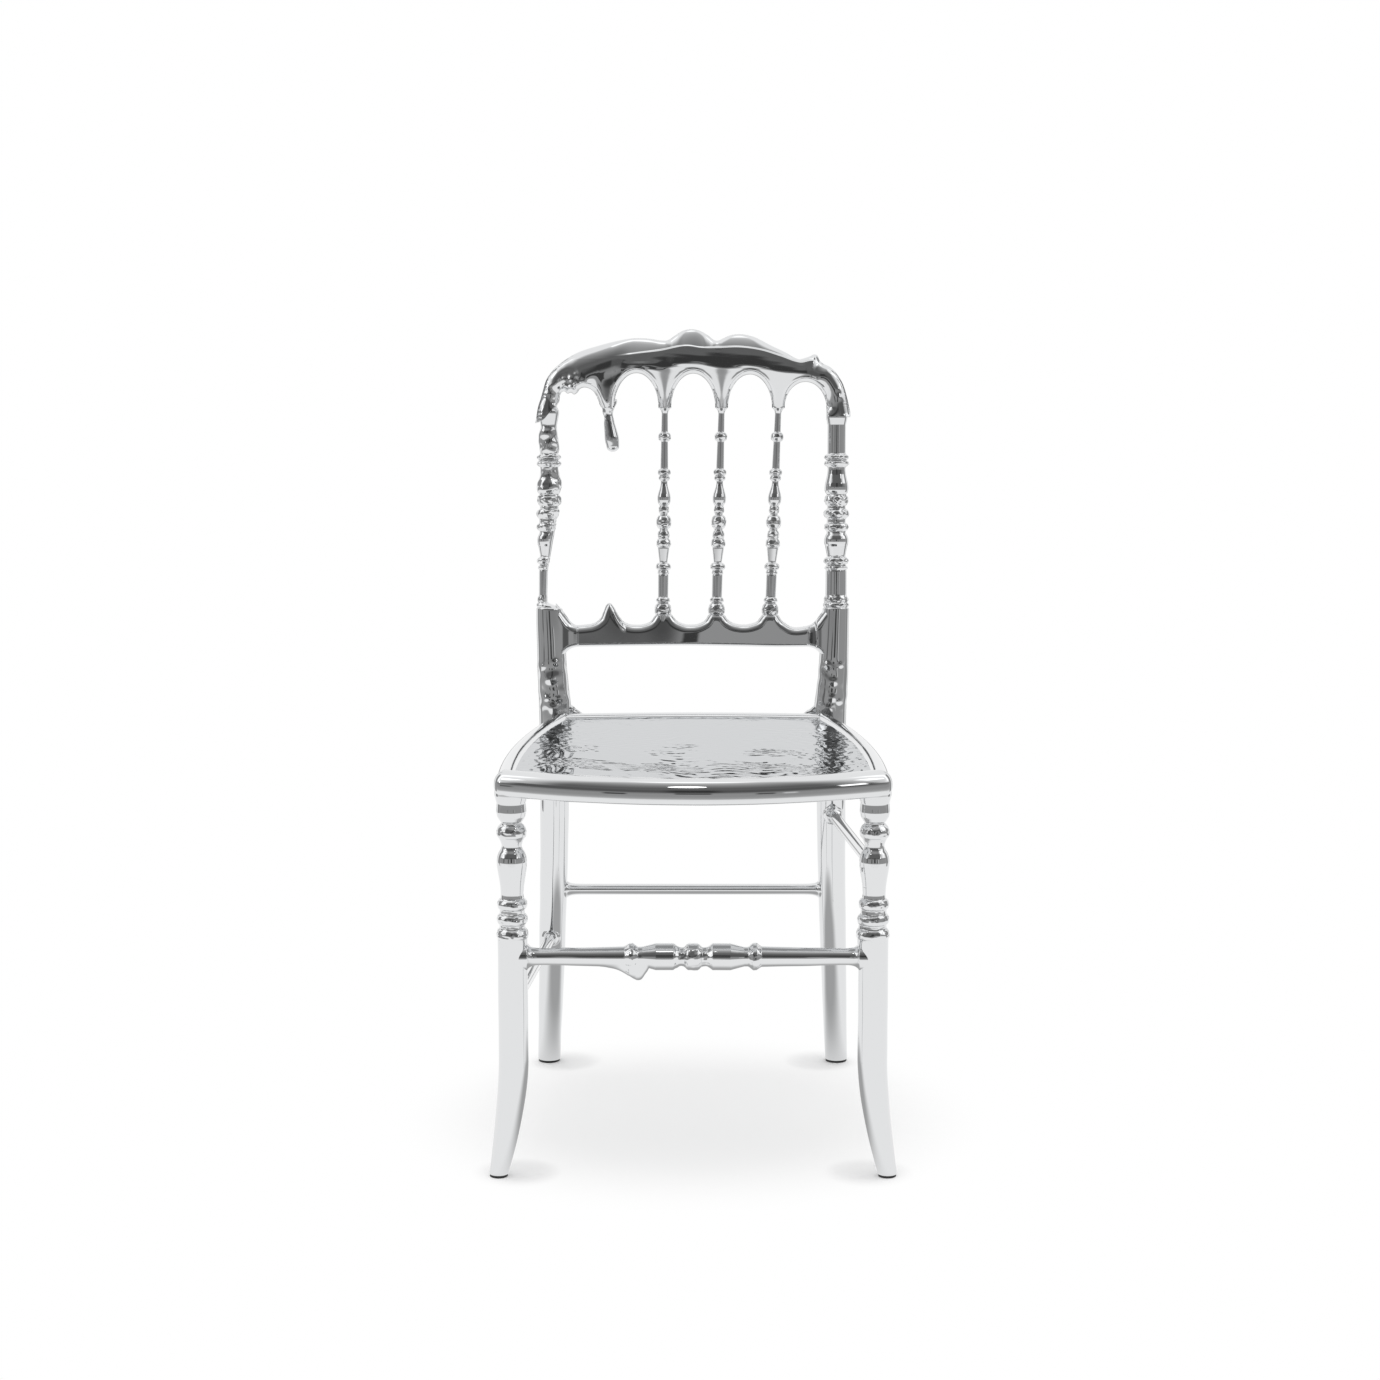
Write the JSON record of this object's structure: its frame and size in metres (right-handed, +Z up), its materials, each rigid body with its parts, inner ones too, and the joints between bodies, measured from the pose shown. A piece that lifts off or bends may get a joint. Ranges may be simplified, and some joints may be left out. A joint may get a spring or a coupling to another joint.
{
  "type": "metal side chair",
  "caption": "Mirror-chromed metal side chair with turned legs, posts and spindles, a scalloped crest rail, plain and turned stretchers and a rigid rippled metal seat, partly melted in look.",
  "frame": {"origin": "on the floor, at the centre of the chair's outer box", "axes": "+Z up, +Y to the back of the chair, +X to the right as seen from the front"},
  "size_m": [0.4268, 0.5037, 0.8714],
  "materials": {
    "chrome_frame": "mirror-bright plating over smooth cast metal with slight casting waves",
    "chrome_seat": "mirror-bright plating over finely rippled metal",
    "screw_steel": "plain machined steel",
    "glide_rubber": "matt dark rubber"
  },
  "bodies": {
    "root": {"front_leg_left": "chrome_frame", "front_leg_right": "chrome_frame", "rear_post_left": "chrome_frame", "rear_post_right": "chrome_frame", "crest_rail": "chrome_frame", "lower_back_rail": "chrome_frame", "spindle_left": "chrome_frame", "spindle_centre": "chrome_frame", "spindle_right": "chrome_frame", "spindle_stub": "chrome_frame", "seat_front_rail": "chrome_frame", "seat_rear_rail": "chrome_frame", "seat_side_rail_left": "chrome_frame", "seat_side_rail_right": "chrome_frame", "seat_panel": "chrome_seat", "seat_panel_screws": "screw_steel", "front_stretcher": "chrome_frame", "rear_stretcher": "chrome_frame", "side_stretcher_left": "chrome_frame", "side_stretcher_right": "chrome_frame", "foot_glide_front_left": "glide_rubber", "foot_glide_front_right": "glide_rubber", "foot_glide_rear_left": "glide_rubber", "foot_glide_rear_right": "glide_rubber"}
  },
  "joints": []
}
